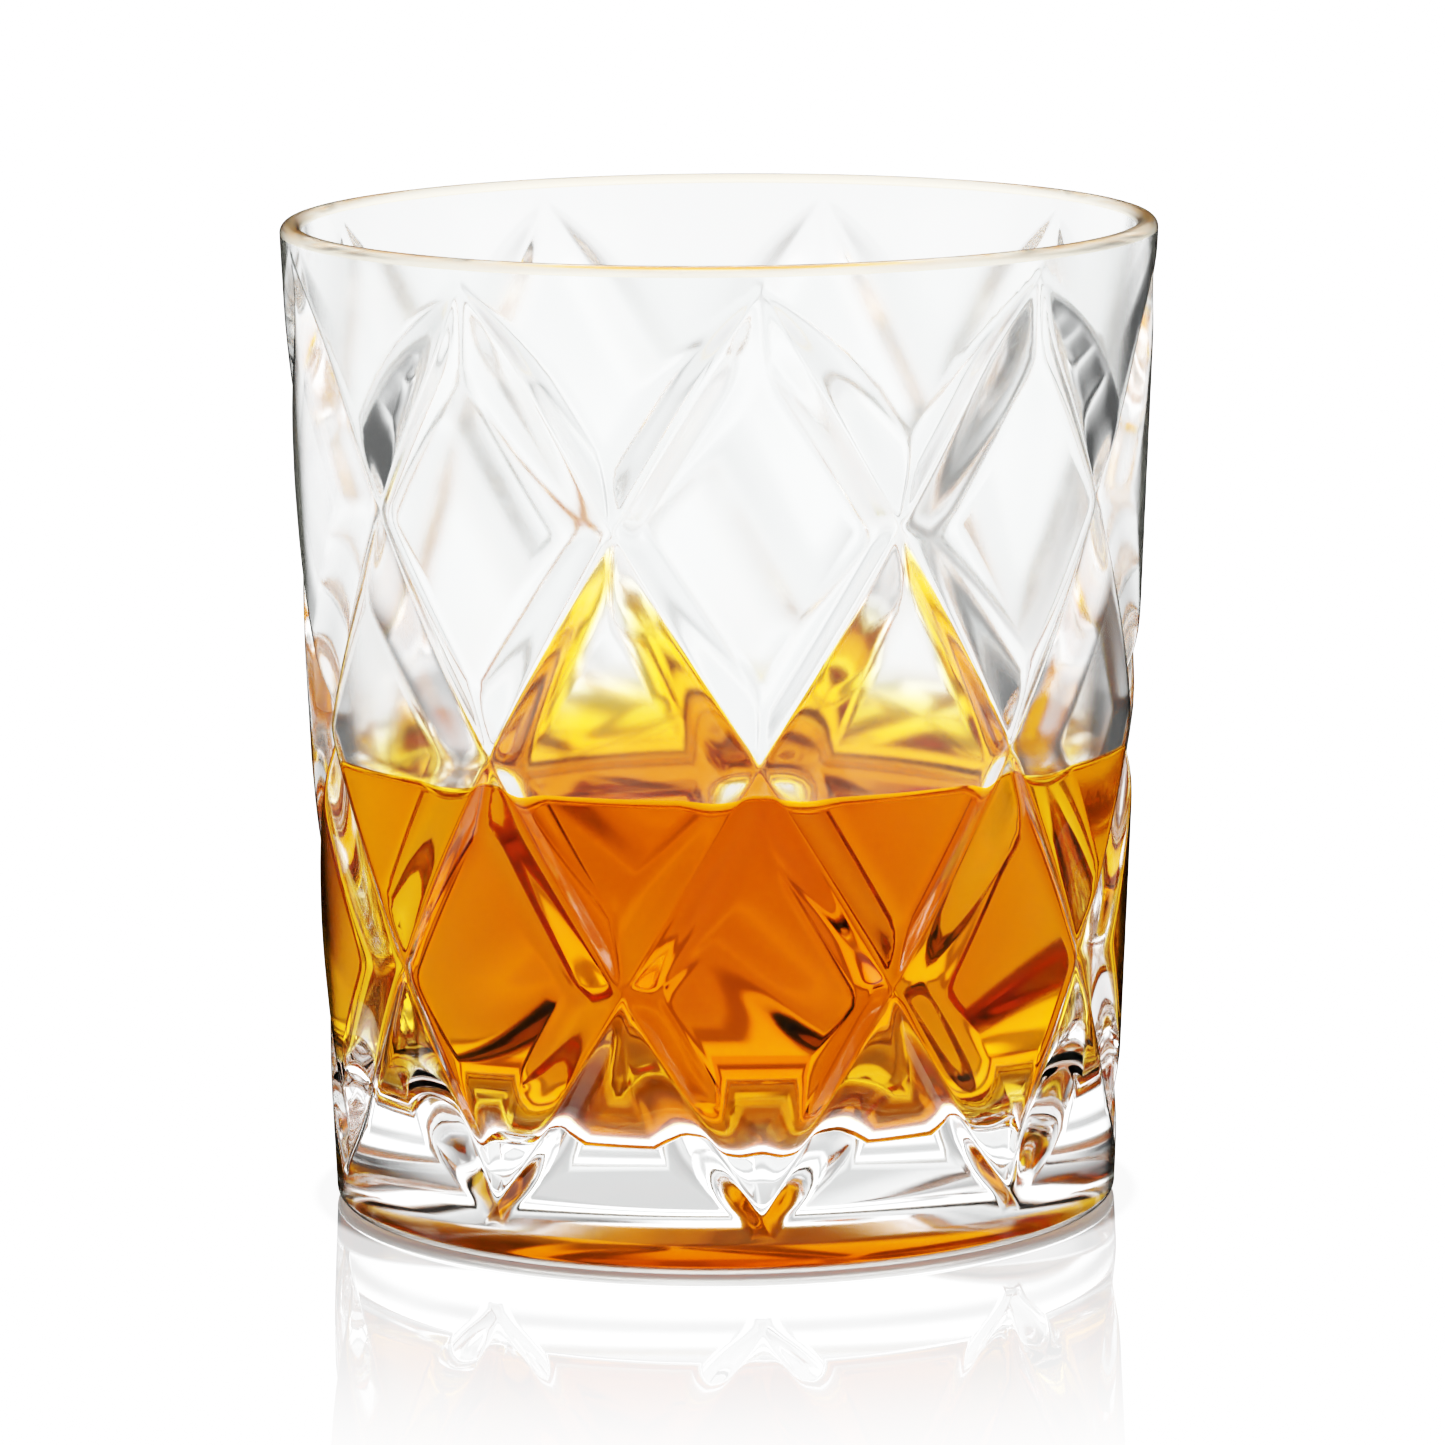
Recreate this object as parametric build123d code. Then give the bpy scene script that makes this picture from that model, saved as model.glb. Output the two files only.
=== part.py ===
"""A pressed-glass whiskey tumbler with a measure of whiskey in it.

The glass is one thick-walled, slightly tapered piece.  Eighteen V-shaped grooves, nine of each hand,
cross on its outside and leave rows of curved diamonds between them.  The whiskey fills the bottom of
the bowl to just under half of the glass's height.

Millimetres, +Z up.  The origin is the centre of the ring that the glass stands on, and a column of
diamonds faces -Y.
"""

import os
from math import atan, cos, exp, radians, sin, tan

from build123d import *

# Outside of the glass: a straight cone on a rounded heel.
HEIGHT = 96.0
RIM_RADIUS = 42.5
BASE_RADIUS = 38.2
HEEL_ROUNDING = 1.2

# Bowl: its wall thickens from the rim down to a rounded floor.
RIM_WALL = 2.1
RIM_ROUNDING = 0.95
FLOOR_HEIGHT = 10.5
FLOOR_RADIUS = 33.2
FLOOR_ROUNDING = 9.0

# Shallow dome under the base, which leaves a ring to stand on.
FOOT_INNER_RADIUS = 34.0
FOOT_ROUNDING = 0.3
DOME_SIDE_RADIUS = 30.5
DOME_SIDE_HEIGHT = 1.2
DOME_SIDE_ROUNDING = 45.0
DOME_TOP_RADIUS = 19.0
DOME_TOP_HEIGHT = 3.45
DOME_TOP_ROUNDING = 50.0

# Grooves: lines of constant slope, from a crossing near the base to short of the next one by the rim.
COLUMNS = 9
LOWEST_CROSSING = 5.3
GROOVE_SLOPE = 57.5
GROOVE_TURN = 78.9
GROOVE_DEPTH = 1.86
GROOVE_HALF_WIDTH = 2.9
RUNOUT_TURN = 7.5

# Cutting tool for a groove: how far it stands out of the glass, and its spacing of sections.
TOOL_CLEARANCE = 1.0
RUNOUT_STATIONS = 5
PLAIN_STATIONS = 17

# Contents.
WHISKEY_LEVEL = 44.0

TAPER = (RIM_RADIUS - BASE_RADIUS) / HEIGHT
TAPER_ANGLE = atan(TAPER)
BOWL_TAPER = (RIM_RADIUS - RIM_WALL - FLOOR_RADIUS) / (HEIGHT - FLOOR_HEIGHT)


def bowl_radius(z):
    """Inner radius of the bowl's straight wall at height z."""
    return FLOOR_RADIUS + BOWL_TAPER * (z - FLOOR_HEIGHT)


def turned(points, roundings):
    """The solid that an outline of (radius, height) corners sweeps about Z, with some corners rounded."""
    outline = Plane.XZ * make_face(Polyline(*points, close=True))
    for index, radius in roundings.items():
        corner = Plane.XZ * Vertex(*points[index], 0)
        nearest = outline.vertices().sort_by_distance(corner)[0]
        outline = fillet(nearest, radius)
    return revolve(outline, Axis.Z)


def blank():
    """The glass before its grooves are pressed."""
    points = [
        (0, DOME_TOP_HEIGHT),
        (DOME_TOP_RADIUS, DOME_TOP_HEIGHT),
        (DOME_SIDE_RADIUS, DOME_SIDE_HEIGHT),
        (FOOT_INNER_RADIUS, 0),
        (BASE_RADIUS, 0),
        (RIM_RADIUS, HEIGHT),
        (RIM_RADIUS - RIM_WALL, HEIGHT),
        (FLOOR_RADIUS, FLOOR_HEIGHT),
        (0, FLOOR_HEIGHT),
    ]
    roundings = {
        1: DOME_TOP_ROUNDING,
        2: DOME_SIDE_ROUNDING,
        3: FOOT_ROUNDING,
        4: HEEL_ROUNDING,
        5: RIM_ROUNDING,
        6: RIM_ROUNDING,
        7: FLOOR_ROUNDING,
    }
    return turned(points, roundings)


def groove_radius(turn):
    """Outer radius of the glass where a groove has turned so many degrees from its lowest point."""
    lowest = BASE_RADIUS + TAPER * LOWEST_CROSSING
    return lowest * exp(TAPER * tan(radians(GROOVE_SLOPE)) * radians(turn))


def groove_depth(turn):
    """Depth of the valley: full along most of the groove, curving up to nothing at both ends."""
    from_end = min(turn, GROOVE_TURN - turn) / RUNOUT_TURN
    if from_end >= 1:
        return GROOVE_DEPTH
    return GROOVE_DEPTH * (1 - (1 - from_end) ** 2)


def groove_stations():
    """Turns at which the cutting tool has a section, closer together along the two run-outs."""
    first = [RUNOUT_TURN * i / RUNOUT_STATIONS for i in range(RUNOUT_STATIONS)]
    plain_turn = GROOVE_TURN - 2 * RUNOUT_TURN
    middle = [RUNOUT_TURN + plain_turn * i / (PLAIN_STATIONS - 1) for i in range(PLAIN_STATIONS)]
    last = [GROOVE_TURN - turn for turn in reversed(first)]
    return first + middle + last


def groove_section(turn, start, hand):
    """Triangle across a groove: its valley inside the glass and its two corners outside it."""
    angle = radians(start + hand * turn)
    radius = groove_radius(turn)
    around = Vector(-sin(angle), cos(angle), 0)
    outward = Vector(cos(angle), sin(angle), 0)
    up = Vector(0, 0, 1)
    normal = outward * cos(TAPER_ANGLE) - up * sin(TAPER_ANGLE)
    upslope = outward * sin(TAPER_ANGLE) + up * cos(TAPER_ANGLE)
    along = around * (hand * cos(radians(GROOVE_SLOPE))) + upslope * sin(radians(GROOVE_SLOPE))
    across = normal.cross(along)

    surface = outward * radius + up * ((radius - BASE_RADIUS) / TAPER)
    depth = groove_depth(turn)
    reach = (depth + TOOL_CLEARANCE) * GROOVE_HALF_WIDTH / GROOVE_DEPTH
    valley = surface - normal * depth
    outside = surface + normal * TOOL_CLEARANCE
    return Wire.make_polygon([valley, outside - across * reach, outside + across * reach])


def groove_tool(start, hand):
    """Solid that presses one groove: hand 1 climbs anticlockwise seen from above, -1 clockwise."""
    sections = [groove_section(turn, start, hand) for turn in groove_stations()]
    return Solid.make_loft(sections)


def tumbler_glass():
    """The blank with the grooves of one hand pressed into it, and then those of the other hand."""
    glass = blank()
    for hand in (1, -1):
        glass -= [groove_tool(-90 + 360 * column / COLUMNS, hand) for column in range(COLUMNS)]
    return glass


def whiskey():
    """The drink, filling the bowl up to a flat level."""
    points = [
        (0, FLOOR_HEIGHT),
        (FLOOR_RADIUS, FLOOR_HEIGHT),
        (bowl_radius(WHISKEY_LEVEL), WHISKEY_LEVEL),
        (0, WHISKEY_LEVEL),
    ]
    return turned(points, {1: FLOOR_ROUNDING})


os.makedirs("parts", exist_ok=True)
for name, shape in {"tumbler_glass": tumbler_glass(), "whiskey": whiskey()}.items():
    export_step(shape, f"parts/{name}.step")
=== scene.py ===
"""Looks of a pressed-glass whiskey tumbler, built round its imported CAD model.

Metres, +Z up, the glass standing on the origin.  The glass and the whiskey are closed meshes with
exact normals, so that light bends through them as it does through the real things.
"""

from math import atan, cos, pi, radians, sin, sqrt, tan

import bmesh
import bpy
import numpy as np
from mathutils import Matrix, Vector


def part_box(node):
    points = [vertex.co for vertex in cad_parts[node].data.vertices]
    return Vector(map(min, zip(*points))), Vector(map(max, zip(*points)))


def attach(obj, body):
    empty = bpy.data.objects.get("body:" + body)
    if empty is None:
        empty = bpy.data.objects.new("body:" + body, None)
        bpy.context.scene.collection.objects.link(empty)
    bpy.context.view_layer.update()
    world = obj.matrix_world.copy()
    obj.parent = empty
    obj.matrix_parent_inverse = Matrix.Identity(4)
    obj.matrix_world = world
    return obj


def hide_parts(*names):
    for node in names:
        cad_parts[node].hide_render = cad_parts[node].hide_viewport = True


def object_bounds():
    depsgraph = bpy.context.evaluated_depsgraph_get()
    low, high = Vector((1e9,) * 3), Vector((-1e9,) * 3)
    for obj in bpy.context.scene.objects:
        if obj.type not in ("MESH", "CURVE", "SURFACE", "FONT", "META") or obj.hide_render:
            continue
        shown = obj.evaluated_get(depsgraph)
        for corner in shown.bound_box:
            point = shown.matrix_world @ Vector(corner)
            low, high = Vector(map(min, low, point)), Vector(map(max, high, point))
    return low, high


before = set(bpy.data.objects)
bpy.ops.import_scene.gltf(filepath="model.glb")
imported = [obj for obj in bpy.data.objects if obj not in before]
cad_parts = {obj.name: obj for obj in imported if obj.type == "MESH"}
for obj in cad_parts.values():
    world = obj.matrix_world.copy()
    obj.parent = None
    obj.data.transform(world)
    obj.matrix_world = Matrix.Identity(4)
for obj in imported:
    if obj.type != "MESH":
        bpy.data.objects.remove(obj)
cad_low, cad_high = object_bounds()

MM = 0.001

# ---------------------------------------------------------------- sizes

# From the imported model.
HEIGHT = cad_high.z
whiskey_low, whiskey_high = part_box("whiskey")
FLOOR_HEIGHT = whiskey_low.z
WHISKEY_LEVEL = whiskey_high.z

# The rest of the glass's outline, as the CAD model has it.
RIM_RADIUS = 42.5 * MM
RIM_WALL = 2.1 * MM
RIM_ROUNDING = 0.95 * MM
BASE_RADIUS = 38.2 * MM
HEEL_ROUNDING = 1.2 * MM
FLOOR_RADIUS = 33.2 * MM
FLOOR_ROUNDING = 9 * MM
FOOT_INNER_RADIUS = 34 * MM
FOOT_ROUNDING = 0.3 * MM
DOME_SIDE_RADIUS = 30.5 * MM
DOME_SIDE_HEIGHT = 1.2 * MM
DOME_SIDE_ROUNDING = 45 * MM
DOME_TOP_RADIUS = 19 * MM
DOME_TOP_HEIGHT = 3.45 * MM
DOME_TOP_ROUNDING = 50 * MM
TAPER = (RIM_RADIUS - BASE_RADIUS) / HEIGHT
TAPER_ANGLE = atan(TAPER)
BOWL_TAPER = (RIM_RADIUS - RIM_WALL - FLOOR_RADIUS) / (HEIGHT - FLOOR_HEIGHT)

# Grooves.
COLUMNS = 9
PERIOD = 2 * pi / COLUMNS
LOWEST_CROSSING = 5.3 * MM
GROOVE_SLOPE = radians(57.5)
GROOVE_TURN = radians(78.9)
RUNOUT_TURN = radians(7.5)
GROOVE_DEPTH = 1.86 * MM
GROOVE_HALF_WIDTH = 2.9 * MM
VALLEY_SOFTNESS = 0.3 * MM
EDGE_SOFTNESS = 0.9 * MM

# Where the drink climbs the wall, and the gap that keeps its mesh off the glass's.
MENISCUS_RISE = 1.5 * MM
MENISCUS_REACH = 1.9 * MM
MENISCUS_SPAN = 6 * MENISCUS_REACH
CONTACT_HEIGHT = WHISKEY_LEVEL + MENISCUS_RISE
LIQUID_CLEARANCE = 0.02 * MM

# Mesh detail.  The grooved grid stops a little short of the rim and the heel, where rings take over.
GRID_MARGIN = 1.6 * MM
GRID_LOW = GRID_MARGIN
GRID_HIGH = HEIGHT - GRID_MARGIN
GRID_OVERSHOOT = radians(3)
# Lines beside each valley, in degrees, close together where the shape turns.  40 degrees is a period.
GRID_LINES = [
    0.2, 0.5, 1.0, 1.8, 2.7, 3.5, 4.1, 4.5, 4.85, 5.2, 5.7, 6.6, 8.2, 10.5, 13.3, 16.5,
]
SLOPE_STEP = 0.004 * MM
MENISCUS_STEPS = 40
DRINK_STEPS = 240
CUT_TOLERANCE = 1e-7
AXIS_TOLERANCE = 1e-9

# Zones of the glass that have a surface of their own.
RIM_ZONE = 1.2 * MM
FLOOR_ZONE = 1.2 * MM
HEEL_HEIGHT = 0.95 * MM
HEEL_INNER_RADIUS = BASE_RADIUS - HEEL_ROUNDING - 0.1 * MM
WALL_TOLERANCE = 0.01 * MM
HEIGHT_TOLERANCE = 0.001 * MM

# ---------------------------------------------------------------- looks

GLASS_IOR = 1.52
WHISKEY_IOR = 1.36
WETTED_IOR = GLASS_IOR / WHISKEY_IOR
GLASS_ROUGHNESS = 0.09
FILLED_ROUGHNESS = 0.05
GROUND_ROUGHNESS = 0.3
CLEAR = (0.975, 0.99, 0.988)
# Painted shade on the glass's outline: the dark colour it turns to where it is seen at a grazing angle,
# and the facing values over which it does.
PAINTED_EDGE_SHADE = (0.03, 0.03, 0.025)
EDGE_SHADE_RANGE = (0.73, 0.85)

# The glass's surfaces, in the order of their material slots: index of refraction, roughness, colour,
# and the facing values between which the colour turns to the painted dark edge.  On the heel, the rim
# and the bowl floor the colour is painted light or shade, not the glass's own.
GLASS_SURFACES = {
    "pressed_glass": (GLASS_IOR, GLASS_ROUGHNESS, CLEAR, EDGE_SHADE_RANGE),
    "wetted_glass": (WETTED_IOR, FILLED_ROUGHNESS, CLEAR, EDGE_SHADE_RANGE),
    # The heel's dark grey colour is painted shade, standing for the contact shadow and dark surroundings
    # seen in it.
    "heel": (GLASS_IOR, GROUND_ROUGHNESS, (0.3, 0.29, 0.27), EDGE_SHADE_RANGE),
    # The rim's cream colour is painted light: the amber glow of the drink that the rounded rim bends into
    # view.
    "rim": (GLASS_IOR, GROUND_ROUGHNESS, (0.97, 0.85, 0.62), (0.7, 0.95)),
    "filled_glass": (GLASS_IOR, FILLED_ROUGHNESS, CLEAR, EDGE_SHADE_RANGE),
    # The bowl floor's amber brown is painted shade, darkening and warming the light through the glass
    # floor under the drink.
    "bowl_floor": (WETTED_IOR, FILLED_ROUGHNESS, (0.66, 0.43, 0.16), EDGE_SHADE_RANGE),
}

WHISKEY_ROUGHNESS = 0.04
WHISKEY_COLOUR = (0.973, 0.903, 0.6, 1)
WHISKEY_DENSITY = 350
# How much of the free surface's mirror image is missing from above, as through a polariser.
POLARISED = 0.85

# The exposure: brightness in the scene and on film, bright light rolling off to white.
FILM = [(0.1, 0.06), (0.25, 0.225), (0.5, 0.46), (1.0, 0.74), (1.5, 0.88), (2.0, 0.965)]
WHITE = 2.5
COMBINED_CURVE = 3

# Brightness of the backdrop seen through the glass, as (degrees, brightness) stops by bearing,
# clockwise from +Y, and its share by elevation.
BACKDROP = [
    (-180, 0.3), (-125, 0.4), (-112, 1.3), (-88, 1.3), (-80, 0.2), (-58, 0.2), (-50, 0.8), (-40, 1.8),
    (36, 1.8), (46, 0.7), (56, 0.15), (76, 0.15), (100, 0.4), (112, 1.4), (155, 1.4), (168, 0.3),
    (180, 0.3),
]
BACKDROP_SHARE = [
    (-90, 3.0), (-25, 3.0), (-12, 1.4), (-5, 1.1), (5, 0.95), (12, 0.6), (20, 0.4), (35, 0.12),
    (48, 0.25), (90, 0.25),
]
OVERHEAD = [(48, 0.0), (62, 2.0)]
# A lamp above the backdrop, by bearing, and its share by elevation.
BACK_LAMP = [(-27, 0.0), (-18, 2.9), (10, 2.9), (17, 0.0)]
BACK_LAMP_SHARE = [(24, 0.0), (30, 1.0), (48, 1.0), (56, 0.0)]
# The lights that mirror in the glass, besides the one overhead: two tall strips at the sides.
STRIPS = [
    (-90, 0.0), (-84, 1.5), (-60, 1.5), (-54, 0.0), (54, 0.0), (60, 1.5), (84, 1.5), (90, 0.0),
]
STRIPS_SHARE = [(-5, 0.0), (0, 1.0), (55, 1.0), (60, 0.0)]

# Brightness of the table seen through the glass, by distance from the axis: close to the glass,
# and further off, where it is a share of the backdrop's.
TABLE_NEAR = [
    (0, 2.6), (18 * MM, 3.0), (32 * MM, 5.2), (45 * MM, 5.2), (47.5 * MM, 1.0), (51 * MM, 1.0),
    (54 * MM, 3.8), (68 * MM, 3.6), (72 * MM, 1.0), (79 * MM, 1.0), (84 * MM, 1.9), (150 * MM, 1.6),
]
TABLE_FAR_SHARE = [
    (0, 1.0), (0.16, 1.0), (0.28, 1.2), (0.384, 1.35), (0.496, 1.15), (0.64, 1.1), (0.8, 1.1),
]
TABLE_FAR_STARTS = (90 * MM, 150 * MM)
TABLE_RADIUS = 3
TABLE_SEGMENTS = 96
# The table as it is seen directly: a mirror image that fades out, and a shade under the glass.
MIRROR_SHARE = 0.55
MIRROR_FADES = (40 * MM, 140 * MM)
MIRROR_SKY = 2.9
CONTACT_SHADE = 0.3
CONTACT_ENDS = (39.8 * MM, 41.2 * MM)

BOUNCES = 64
TRANSPARENT_BOUNCES = 16

# The camera, a little above the rim and just left of a column of diamonds.
SENSOR_WIDTH = 36
FOCAL_LENGTH = 206.4
CLIP_RANGE = (0.05, 10)
CAMERA_BEARING = radians(-5.1)
CAMERA_ELEVATION = radians(9.557)
CAMERA_DISTANCE = 0.8091
CAMERA_ROLL = radians(-0.425)
AIM_DROP = 1.55 * MM


# ---------------------------------------------------------------- outlines

def rounded_outline(corners):
    """Samples of an outline, from corners of (radius, height, rounding, arc steps, run steps).

    A run leads from its corner to the next.  The outline starts and ends at a sharp corner.  Gives
    positions and outward normals; the glass lies on the left of the outline's direction.
    """
    plan = []
    for i, (r, z, rounding, arc_steps, run_steps) in enumerate(corners):
        here = np.array([r, z])
        if rounding == 0:
            plan.append((here, here, None, arc_steps, run_steps))
            continue
        back = np.array(corners[i - 1][:2]) - here
        ahead = np.array(corners[i + 1][:2]) - here
        back /= np.linalg.norm(back)
        ahead /= np.linalg.norm(ahead)
        half = np.arccos(np.clip(back @ ahead, -1, 1)) / 2
        centre = here + (back + ahead) / np.linalg.norm(back + ahead) * rounding / sin(half)
        reach = rounding / tan(half)
        plan.append((here + back * reach, here + ahead * reach, centre, arc_steps, run_steps))

    spots, normals = [], []
    for (start, end, centre, arc_steps, run_steps), following in zip(plan, plan[1:]):
        if centre is not None:
            a, b = start - centre, end - centre
            whole = np.arctan2(a[0] * b[1] - a[1] * b[0], a @ b)
            for k in range(arc_steps + 1):
                c, s = cos(whole * k / arc_steps), sin(whole * k / arc_steps)
                arm = np.array([a[0] * c - a[1] * s, a[0] * s + a[1] * c])
                spots.append(centre + arm)
                normals.append(np.sign(whole) * arm / np.linalg.norm(arm))
        run = following[0] - end
        along = run / np.linalg.norm(run)
        side = np.array([along[1], -along[0]])
        for k in range(0 if centre is None else 1, run_steps):
            spots.append(end + run * k / run_steps)
            normals.append(side)
    spots.append(plan[-1][0])
    normals.append(side)
    return np.array(spots), np.array(normals)


def bowl_radius(z):
    return FLOOR_RADIUS + BOWL_TAPER * (z - FLOOR_HEIGHT)


def cone_radius(z):
    return BASE_RADIUS + TAPER * z


# ---------------------------------------------------------------- grooved outside

def turn_at(z):
    """How far a groove has turned from its lowest crossing when it is at height z."""
    return np.log(cone_radius(z) / cone_radius(LOWEST_CROSSING)) / (TAPER * tan(GROOVE_SLOPE))


def height_at(turn):
    radius = cone_radius(LOWEST_CROSSING) * np.exp(turn * TAPER * tan(GROOVE_SLOPE))
    return (radius - BASE_RADIUS) / TAPER


def soft_max(a, b, softness):
    near = np.clip(softness - np.abs(a - b), 0, None) / softness
    return np.maximum(a, b) + near * near * softness / 4


def groove_depth(angle, z):
    """Depth of the pressed pattern below the plain cone."""
    turn = turn_at(z)
    from_end = np.minimum(np.minimum(turn, GROOVE_TURN - turn) / RUNOUT_TURN, 1)
    valley = GROOVE_DEPTH * (1 - (1 - from_end) ** 2)
    steepness = GROOVE_DEPTH / GROOVE_HALF_WIDTH
    grooves = []
    for hand in (1, -1):
        off = angle + pi / 2 - hand * turn
        off = (off + PERIOD / 2) % PERIOD - PERIOD / 2
        across = cone_radius(z) * off * sin(GROOVE_SLOPE)
        rounded = np.sqrt(across ** 2 + VALLEY_SOFTNESS ** 2) - VALLEY_SOFTNESS
        grooves.append(valley - rounded * steepness)
    return soft_max(soft_max(*grooves, EDGE_SOFTNESS), 0, EDGE_SOFTNESS)


def outer_radius(angle, z):
    return cone_radius(z) - groove_depth(angle, z) / cos(TAPER_ANGLE)


def outer_surface(angle, z):
    """Positions and outward normals of the grooved outside."""
    radius = outer_radius(angle, z)
    turn = SLOPE_STEP / radius
    by_angle = (outer_radius(angle + turn, z) - outer_radius(angle - turn, z)) / (2 * SLOPE_STEP)
    by_height = outer_radius(angle, z + SLOPE_STEP) - outer_radius(angle, z - SLOPE_STEP)
    by_height /= 2 * SLOPE_STEP
    places = np.stack([radius * np.cos(angle), radius * np.sin(angle), z], axis=1)
    normals = np.stack([
        np.cos(angle) + by_angle * np.sin(angle),
        np.sin(angle) - by_angle * np.cos(angle),
        -by_height,
    ], axis=1)
    return places, normals / np.linalg.norm(normals, axis=1, keepdims=True)


def outside_grid():
    """Quads of a grid whose lines follow the grooves of both hands, cut level at both ends."""
    one_side = np.radians(GRID_LINES)
    offsets = np.concatenate([[0], one_side, [PERIOD / 2], (PERIOD - one_side)[::-1]])
    lines = np.concatenate([offsets + PERIOD * k for k in range(COLUMNS)])
    around = len(lines)

    def line(i):
        return lines[i % around] + 2 * pi * (i // around)

    bm = bmesh.new()
    made = {}

    def vertex(i, j):
        key = (i % around, j - around * (i // around))
        if key not in made:
            up, down = line(key[0]), line(key[1])
            turn, angle = (up - down) / 2, (up + down) / 2 - pi / 2
            z = float(height_at(turn))
            radius = cone_radius(z)
            made[key] = bm.verts.new((radius * cos(angle), radius * sin(angle), z))
        return made[key]

    low_turn = float(turn_at(GRID_LOW)) - GRID_OVERSHOOT
    high_turn = float(turn_at(GRID_HIGH)) + GRID_OVERSHOOT
    widest = int(len(offsets) * (2 * (high_turn - low_turn) / PERIOD + 4))
    for i in range(around):
        for j in range(i - widest, i + widest):
            if low_turn <= (line(i) - line(j)) / 2 <= high_turn:
                bm.faces.new((vertex(i, j), vertex(i, j + 1), vertex(i + 1, j + 1), vertex(i + 1, j)))
    for height, clear_above in ((GRID_HIGH, True), (GRID_LOW, False)):
        bmesh.ops.bisect_plane(
            bm, geom=bm.verts[:] + bm.edges[:] + bm.faces[:], dist=CUT_TOLERANCE,
            plane_co=(0, 0, height), plane_no=(0, 0, 1),
            clear_outer=clear_above, clear_inner=not clear_above,
        )
    return bm


# ---------------------------------------------------------------- meshes

def mesh_object(name, places, normals, faces, materials, slots):
    mesh = bpy.data.meshes.new(name)
    mesh.from_pydata([tuple(p) for p in places], [], faces)
    for material in materials:
        mesh.materials.append(material)
    mesh.polygons.foreach_set("material_index", slots)
    mesh.polygons.foreach_set("use_smooth", [True] * len(mesh.polygons))
    mesh.normals_split_custom_set_from_vertices([tuple(n) for n in normals])
    mesh.update()
    piece = bpy.data.objects.new(name, mesh)
    bpy.context.scene.collection.objects.link(piece)
    return piece


def add_rings(spots, normals, angles, places, directions, faces, first_row, upward=True):
    """Turns an outline's samples into rings after first_row, and a fan where it meets the axis."""
    rows = [first_row]
    count = len(angles)
    ring_cos, ring_sin = np.cos(angles), np.sin(angles)
    for (r, z), (nr, nz) in zip(spots, normals):
        start = len(places)
        if r < AXIS_TOLERANCE:
            rows.append([start])
            places.append((0, 0, z))
            directions.append((0, 0, nz))
        else:
            rows.append(list(range(start, start + count)))
            places.extend(zip(r * ring_cos, r * ring_sin, [z] * count))
            directions.extend(zip(nr * ring_cos, nr * ring_sin, [nz] * count))
    for lower, upper in zip(rows, rows[1:]):
        for k in range(count):
            n = (k + 1) % count
            if len(upper) == 1:
                face = (lower[k], lower[n], upper[0])
            elif len(lower) == 1:
                face = (lower[0], upper[n], upper[k])
            else:
                face = (lower[k], lower[n], upper[n], upper[k])
            faces.append(face if upward else face[::-1])
    return rows[-1]


def glass_surface(heights, radii):
    """The name of the surface that a face belongs to, from its corners."""
    if heights.min() > HEIGHT - RIM_ZONE:
        return "rim"
    if heights.max() < HEEL_HEIGHT and radii.min() > HEEL_INNER_RADIUS:
        return "heel"
    inside = radii.max() < bowl_radius(heights.max()) + WALL_TOLERANCE
    above_floor = heights.min() > FLOOR_HEIGHT - HEIGHT_TOLERANCE
    if inside and above_floor and heights.max() < CONTACT_HEIGHT + HEIGHT_TOLERANCE:
        return "bowl_floor" if heights.max() < FLOOR_HEIGHT + FLOOR_ZONE else "wetted_glass"
    return "filled_glass" if heights.max() < WHISKEY_LEVEL else "pressed_glass"


def glass_mesh():
    bm = outside_grid()
    bm.verts.ensure_lookup_table()
    grid = np.array([v.co for v in bm.verts])
    angle, z = np.arctan2(grid[:, 1], grid[:, 0]), grid[:, 2]
    outside, outside_normals = outer_surface(angle, z)
    places, directions = [tuple(p) for p in outside], [tuple(n) for n in outside_normals]
    faces = [tuple(v.index for v in f.verts) for f in bm.faces]
    bm.free()

    bowl, bowl_normals = rounded_outline([
        (cone_radius(GRID_HIGH), GRID_HIGH, 0, 0, 1),
        (RIM_RADIUS, HEIGHT, RIM_ROUNDING, 8, 1),
        (RIM_RADIUS - RIM_WALL, HEIGHT, RIM_ROUNDING, 8, 10),
        (bowl_radius(CONTACT_HEIGHT), CONTACT_HEIGHT, 0, 0, 8),
        (FLOOR_RADIUS, FLOOR_HEIGHT, FLOOR_ROUNDING, 12, 5),
        (0, FLOOR_HEIGHT, 0, 0, 1),
    ])
    under, under_normals = rounded_outline([
        (0, DOME_TOP_HEIGHT, 0, 0, 5),
        (DOME_TOP_RADIUS, DOME_TOP_HEIGHT, DOME_TOP_ROUNDING, 8, 3),
        (DOME_SIDE_RADIUS, DOME_SIDE_HEIGHT, DOME_SIDE_ROUNDING, 4, 1),
        (FOOT_INNER_RADIUS, 0, FOOT_ROUNDING, 4, 2),
        (BASE_RADIUS, 0, HEEL_ROUNDING, 7, 1),
        (cone_radius(GRID_LOW), GRID_LOW, 0, 0, 1),
    ])
    for level, spots, normals, upward in (
        (GRID_HIGH, bowl[1:], bowl_normals[1:], True),
        (GRID_LOW, under[:-1][::-1], under_normals[:-1][::-1], False),
    ):
        ring = [i for i in range(len(z)) if abs(z[i] - level) < CUT_TOLERANCE]
        ring.sort(key=lambda i: angle[i])
        for i in ring:
            places[i] = (cone_radius(level) * cos(angle[i]), cone_radius(level) * sin(angle[i]), level)
        add_rings(spots, normals, angle[ring], places, directions, faces, ring, upward)

    heights = np.array([p[2] for p in places])
    radii = np.array([sqrt(p[0] ** 2 + p[1] ** 2) for p in places])
    names = list(GLASS_SURFACES)
    slots = [names.index(glass_surface(heights[list(face)], radii[list(face)])) for face in faces]
    materials = [glass_material(name, *look) for name, look in GLASS_SURFACES.items()]
    return mesh_object("tumbler_body", places, directions, faces, materials, slots)


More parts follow.
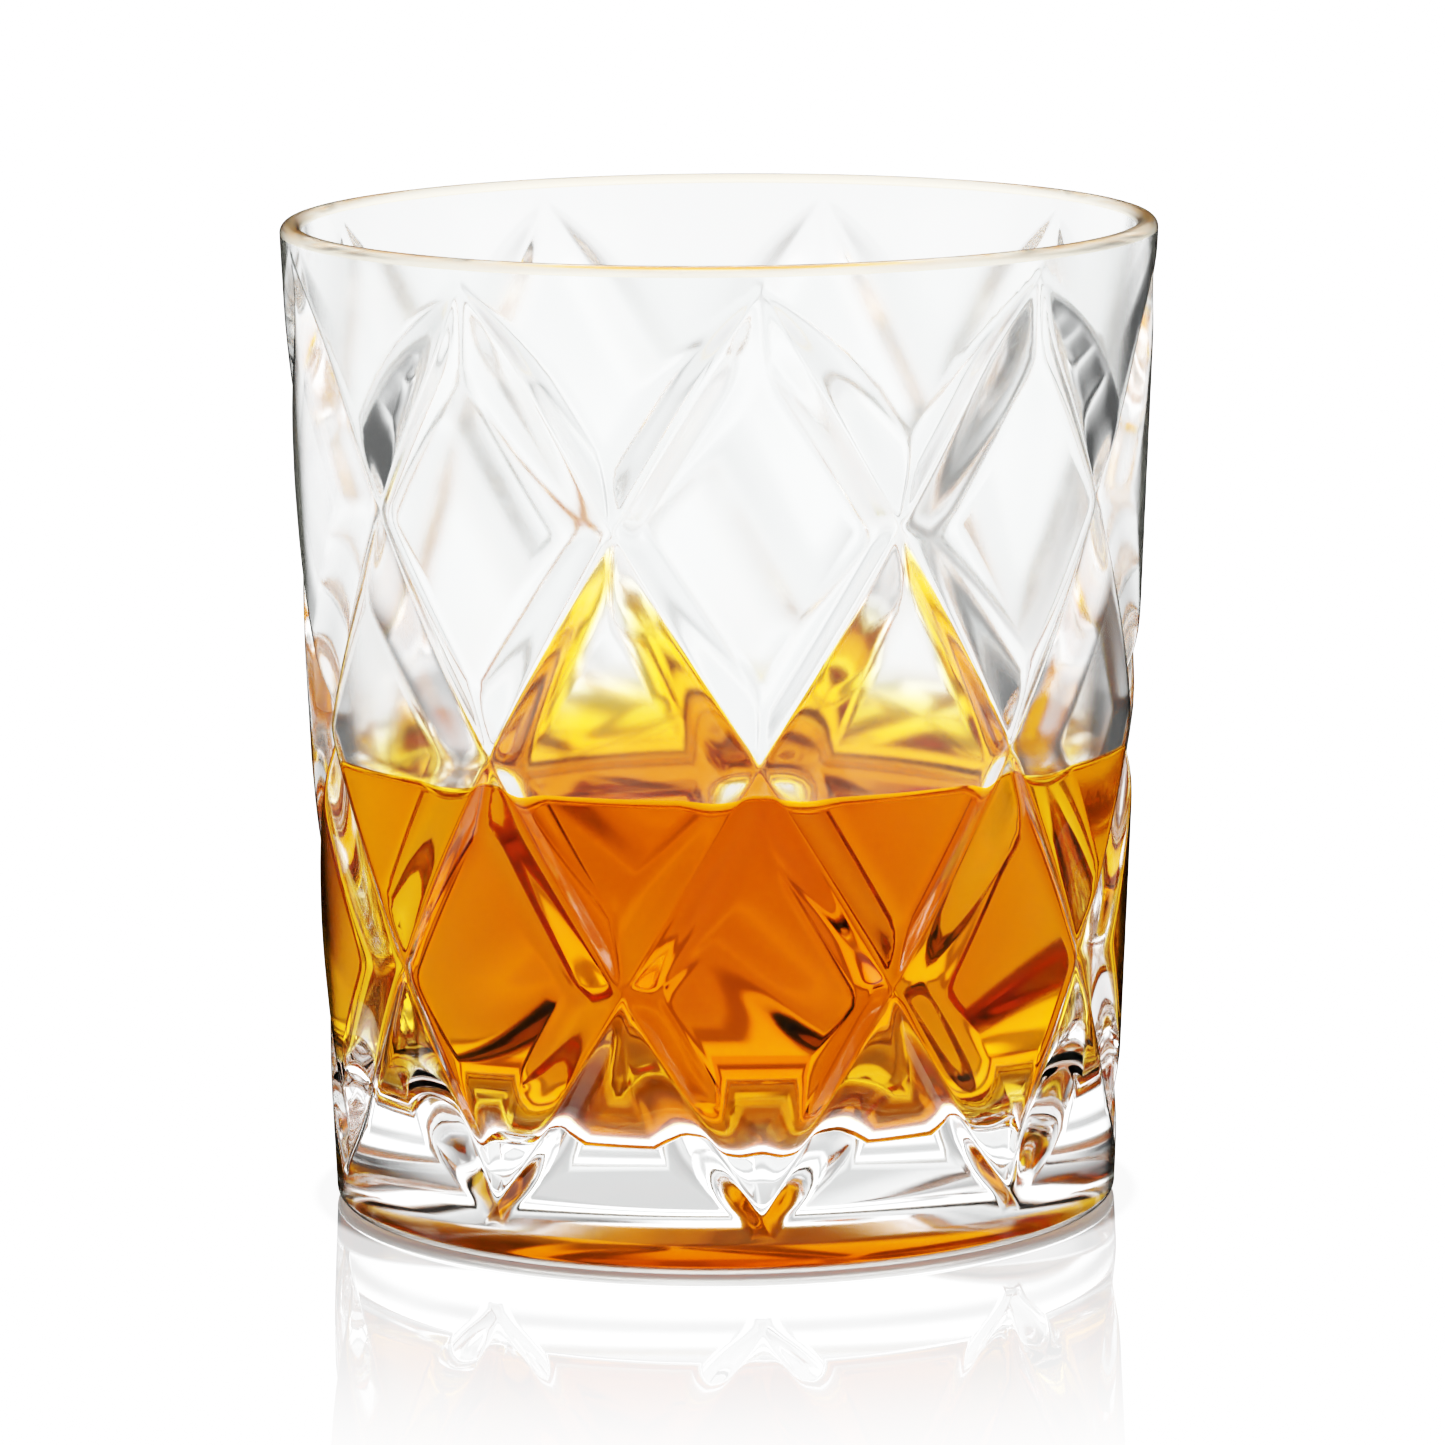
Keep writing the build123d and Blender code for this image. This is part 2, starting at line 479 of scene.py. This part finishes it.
def whiskey_mesh():
    wall = bowl_radius(CONTACT_HEIGHT) - LIQUID_CLEARANCE
    bottom = FLOOR_HEIGHT + LIQUID_CLEARANCE
    side, side_normals = rounded_outline([
        (0, bottom, 0, 0, 5),
        (FLOOR_RADIUS - LIQUID_CLEARANCE, bottom, FLOOR_ROUNDING, 12, 8),
        (wall, CONTACT_HEIGHT, 0, 0, 1),
    ])
    top, top_normals = [], []
    for k in range(1, MENISCUS_STEPS + 1):
        off = MENISCUS_SPAN * (k / MENISCUS_STEPS) ** 2
        rise = MENISCUS_RISE * np.exp(-off / MENISCUS_REACH)
        slope = rise / MENISCUS_REACH
        top.append((wall - off, WHISKEY_LEVEL + rise))
        top_normals.append(np.array([-slope, 1]) / sqrt(1 + slope ** 2))
    top.append((0, WHISKEY_LEVEL))
    top_normals.append(np.array([0, 1]))

    angles = np.arange(DRINK_STEPS) * (2 * pi / DRINK_STEPS)
    places, directions, faces = [(0, 0, bottom)], [(0, 0, -1)], []
    last_ring = add_rings(side[1:], side_normals[1:], angles, places, directions, faces, [0])
    sides = len(faces)
    add_rings(top, top_normals, angles, places, directions, faces, last_ring)
    slots = [0] * len(faces)
    piece = mesh_object("whiskey_fill", places, directions, faces, [whiskey_material()], slots)
    free = piece.data.attributes.new("free_surface", "FLOAT", "FACE")
    free.data.foreach_set("value", [0.0] * sides + [1.0] * (len(faces) - sides))
    return piece


# ---------------------------------------------------------------- shader helpers

def node(tree, kind, **settings):
    made = tree.nodes.new("ShaderNode" + kind)
    for name, value in settings.items():
        setattr(made, name, value)
    return made


def maths(tree, operation, *values):
    made = node(tree, "Math", operation=operation)
    for socket, value in zip(made.inputs, values):
        if isinstance(value, (int, float)):
            socket.default_value = value
        else:
            tree.links.new(value, socket)
    return made.outputs[0]


def smooth_step(tree, value, start, end, low=0, high=1):
    made = node(tree, "MapRange", interpolation_type="SMOOTHSTEP")
    tree.links.new(value, made.inputs["Value"])
    for name, number in (("From Min", start), ("From Max", end), ("To Min", low), ("To Max", high)):
        made.inputs[name].default_value = number
    return made.outputs["Result"]


def graded(tree, position, stops):
    """Brightness at a position from 0 to 1, from (position, brightness) stops."""
    made = node(tree, "ValToRGB")
    tree.links.new(position, made.inputs["Fac"])
    elements = made.color_ramp.elements
    while len(elements) < len(stops):
        elements.new(0.5)
    for element, (at, light) in zip(elements, stops):
        element.position = at
        element.color = (light, light, light, 1)
    return made.outputs["Color"]


def by_angle(tree, angle, stops):
    """Brightness over an angle in radians, from stops in degrees."""
    position = maths(tree, "MULTIPLY_ADD", angle, 1 / (2 * pi), 0.5)
    return graded(tree, position, [(at / 360 + 0.5, light) for at, light in stops])


def by_distance(tree, away, stops):
    """Brightness over a distance, up to that of the last stop."""
    reach = stops[-1][0]
    position = maths(tree, "MULTIPLY", away, 1 / reach)
    return graded(tree, position, [(at / reach, light) for at, light in stops])


def bearing_and_elevation(tree, vector):
    parts = node(tree, "SeparateXYZ")
    tree.links.new(vector, parts.inputs["Vector"])
    return (maths(tree, "ARCTAN2", parts.outputs["X"], parts.outputs["Y"]),
            maths(tree, "ARCSINE", parts.outputs["Z"]))


def light_source(tree, kind, strength):
    """An Emission or Background shader of white light, of a set strength or a linked one."""
    made = node(tree, kind)
    made.inputs["Color"].default_value = (1, 1, 1, 1)
    if isinstance(strength, (int, float)):
        made.inputs["Strength"].default_value = strength
    else:
        tree.links.new(strength, made.inputs["Strength"])
    return made.outputs[0]


def choose(tree, chance, first, second):
    """A Mix Shader between the outputs of two shaders."""
    made = node(tree, "MixShader")
    for value, socket in zip((chance, first, second), made.inputs):
        tree.links.new(value, socket)
    return made.outputs[0]


def empty_material(name):
    """A material with nothing but its output node."""
    material = bpy.data.materials.new(name)
    material.use_nodes = True
    tree = material.node_tree
    tree.nodes.clear()
    return material, tree, node(tree, "OutputMaterial")


def clear_shader(tree, roughness):
    shader = node(tree, "BsdfPrincipled")
    shader.inputs["Roughness"].default_value = roughness
    shader.inputs["Transmission Weight"].default_value = 1
    return shader


# ---------------------------------------------------------------- materials

def glass_material(name, ior, roughness, body, painted_shade_range):
    """Clear glass whose outline is painted dark, a painted shade that stands for the dark edge glass shows
    in front of a bright backdrop of limited size.
    """
    material, tree, output = empty_material(name)
    shader = clear_shader(tree, roughness)
    shader.inputs["IOR"].default_value = ior
    facing = node(tree, "LayerWeight").outputs["Facing"]
    # The painted edge shade goes only on the first surface that a view meets, not on each one that light
    # bounces off inside.
    first = node(tree, "LightPath").outputs["Is Camera Ray"]
    # Painted shade: the colour turns from the surface's colour to the dark edge colour at grazing angles.
    painted_edge_mix = node(tree, "Mix", data_type="RGBA")
    painted_edge_mix.inputs["A"].default_value = (*body, 1)
    painted_edge_mix.inputs["B"].default_value = (*PAINTED_EDGE_SHADE, 1)
    tree.links.new(maths(tree, "MULTIPLY", smooth_step(tree, facing, *painted_shade_range), first),
                   painted_edge_mix.inputs["Factor"])
    tree.links.new(painted_edge_mix.outputs["Result"], shader.inputs["Base Color"])
    tree.links.new(shader.outputs[0], output.inputs["Surface"])
    return material


def whiskey_material():
    """Amber liquid.  It only bends light at its free surface: the glass's wetted faces do the rest."""
    material, tree, output = empty_material("whiskey")
    shader = clear_shader(tree, WHISKEY_ROUGHNESS)
    shader.inputs["Base Color"].default_value = (1, 1, 1, 1)
    free = node(tree, "Attribute", attribute_name="free_surface").outputs["Fac"]
    ior = node(tree, "MapRange")
    ior.inputs["To Min"].default_value = 1
    ior.inputs["To Max"].default_value = WHISKEY_IOR
    tree.links.new(free, ior.inputs["Value"])
    tree.links.new(ior.outputs["Result"], shader.inputs["IOR"])

    outward = maths(tree, "SUBTRACT", 1, node(tree, "NewGeometry").outputs["Backfacing"])
    plain = node(tree, "BsdfRefraction")
    plain.inputs["Roughness"].default_value = 0
    plain.inputs["IOR"].default_value = WHISKEY_IOR
    unmirrored = maths(tree, "MULTIPLY", maths(tree, "MULTIPLY", free, outward), POLARISED)
    tree.links.new(choose(tree, unmirrored, shader.outputs[0], plain.outputs[0]), output.inputs["Surface"])

    absorption = node(tree, "VolumeAbsorption")
    absorption.inputs["Color"].default_value = WHISKEY_COLOUR
    absorption.inputs["Density"].default_value = WHISKEY_DENSITY
    tree.links.new(absorption.outputs["Volume"], output.inputs["Volume"])
    return material


# ---------------------------------------------------------------- studio

def studio_world():
    """White to look at directly; a shaped backdrop through the glass; lamps in its reflections.

    A singular ray here is one that the table's mirror has turned: the glass is a little rough.
    """
    world = bpy.data.worlds.new("studio")
    bpy.context.scene.world = world
    world.use_nodes = True
    tree = world.node_tree
    tree.nodes.clear()
    direction = node(tree, "TexCoord").outputs["Generated"]
    bearing, elevation = bearing_and_elevation(tree, direction)

    def lamp(stops, share):
        return maths(tree, "MULTIPLY", by_angle(tree, bearing, stops), by_angle(tree, elevation, share))

    overhead = by_angle(tree, elevation, OVERHEAD)
    behind = maths(tree, "ADD", maths(tree, "ADD", lamp(BACKDROP, BACKDROP_SHARE), overhead),
                   lamp(BACK_LAMP, BACK_LAMP_SHARE))
    lamps = maths(tree, "ADD", lamp(STRIPS, STRIPS_SHARE), overhead)
    behind, lamps, white, mirror_sky = (
        light_source(tree, "Background", light) for light in (behind, lamps, WHITE, MIRROR_SKY)
    )
    path = node(tree, "LightPath")
    reflected = choose(tree, path.outputs["Is Singular Ray"], lamps, mirror_sky)
    around = choose(tree, path.outputs["Is Reflection Ray"], behind, reflected)
    seen = choose(tree, path.outputs["Is Camera Ray"], around, white)
    tree.links.new(seen, node(tree, "OutputWorld").inputs["Surface"])


def table_top():
    mesh = bpy.data.meshes.new("table_top")
    bm = bmesh.new()
    bmesh.ops.create_circle(bm, cap_ends=True, radius=TABLE_RADIUS, segments=TABLE_SEGMENTS)
    bm.to_mesh(mesh)
    bm.free()
    top = bpy.data.objects.new("table_top", mesh)
    bpy.context.scene.collection.objects.link(top)
    material, tree, output = empty_material("white_acrylic")
    mesh.materials.append(material)
    place = node(tree, "TexCoord").outputs["Object"]
    distance = node(tree, "VectorMath", operation="LENGTH")
    tree.links.new(place, distance.inputs[0])
    away = distance.outputs["Value"]

    # Seen directly: white, with a mirror image of the glass that fades out a little way off.
    gloss = smooth_step(tree, away, *MIRROR_FADES, MIRROR_SHARE, 0)
    level = maths(tree, "SUBTRACT", WHITE, maths(tree, "MULTIPLY", gloss, MIRROR_SKY))
    shade = smooth_step(tree, away, *CONTACT_ENDS, CONTACT_SHADE, 1)
    white = light_source(tree, "Emission", maths(tree, "MULTIPLY", level, shade))
    mirror = node(tree, "BsdfGlossy")
    mirror.inputs["Roughness"].default_value = 0
    tree.links.new(gloss, mirror.inputs["Color"])
    seen = node(tree, "AddShader")
    tree.links.new(white, seen.inputs[0])
    tree.links.new(mirror.outputs[0], seen.inputs[1])

    # Seen through the glass: shaped like the backdrop, with rings of light and shade close in.
    bearing, _ = bearing_and_elevation(tree, place)
    far_share = smooth_step(tree, away, *TABLE_FAR_STARTS)
    near_share = maths(tree, "SUBTRACT", 1, far_share)
    near = by_distance(tree, away, TABLE_NEAR)
    far = maths(tree, "MULTIPLY", by_angle(tree, bearing, BACKDROP),
                by_distance(tree, away, TABLE_FAR_SHARE))
    level = maths(tree, "ADD", maths(tree, "MULTIPLY", near_share, near),
                  maths(tree, "MULTIPLY", far_share, far))

    # Black where a ray has come straight off the glass, whose reflections are not singular.
    path = node(tree, "LightPath")
    mirrored = maths(tree, "MULTIPLY", path.outputs["Is Reflection Ray"],
                     maths(tree, "SUBTRACT", 1, path.outputs["Is Singular Ray"]))
    light, black = light_source(tree, "Emission", level), light_source(tree, "Emission", 0)
    through = choose(tree, mirrored, light, black)
    tree.links.new(choose(tree, path.outputs["Is Camera Ray"], through, seen.outputs[0]),
                   output.inputs["Surface"])


def camera():
    data = bpy.data.cameras.new("camera")
    data.sensor_width = SENSOR_WIDTH
    data.lens = FOCAL_LENGTH
    data.clip_start, data.clip_end = CLIP_RANGE
    eye = bpy.data.objects.new("camera", data)
    bpy.context.scene.collection.objects.link(eye)
    bpy.context.scene.camera = eye
    back = Vector((sin(CAMERA_BEARING) * cos(CAMERA_ELEVATION),
                   -cos(CAMERA_BEARING) * cos(CAMERA_ELEVATION),
                   sin(CAMERA_ELEVATION)))
    eye.location = Vector((0, 0, HEIGHT / 2)) + back * CAMERA_DISTANCE
    aim = Vector((0, 0, HEIGHT / 2 - AIM_DROP))
    facing = (aim - eye.location).to_track_quat("-Z", "Y")
    eye.rotation_mode = "QUATERNION"
    eye.rotation_quaternion = facing @ Matrix.Rotation(CAMERA_ROLL, 3, "Z").to_quaternion()


def exposure():
    scene = bpy.context.scene
    view = scene.view_settings
    view.view_transform = "Standard"
    view.use_curve_mapping = True
    view.curve_mapping.white_level = (WHITE, WHITE, WHITE)
    for light, shown in FILM:
        view.curve_mapping.curves[COMBINED_CURVE].points.new(light / WHITE, shown)
    view.curve_mapping.update()
    scene.cycles.max_bounces = BOUNCES
    scene.cycles.transmission_bounces = BOUNCES
    scene.cycles.glossy_bounces = BOUNCES
    scene.cycles.transparent_max_bounces = TRANSPARENT_BOUNCES
    scene.cycles.use_denoising = True


glass = glass_mesh()
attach(glass, "root")
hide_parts("tumbler_glass")

drink = whiskey_mesh()
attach(drink, "root")
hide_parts("whiskey")

studio_world()
table_top()
camera()
exposure()
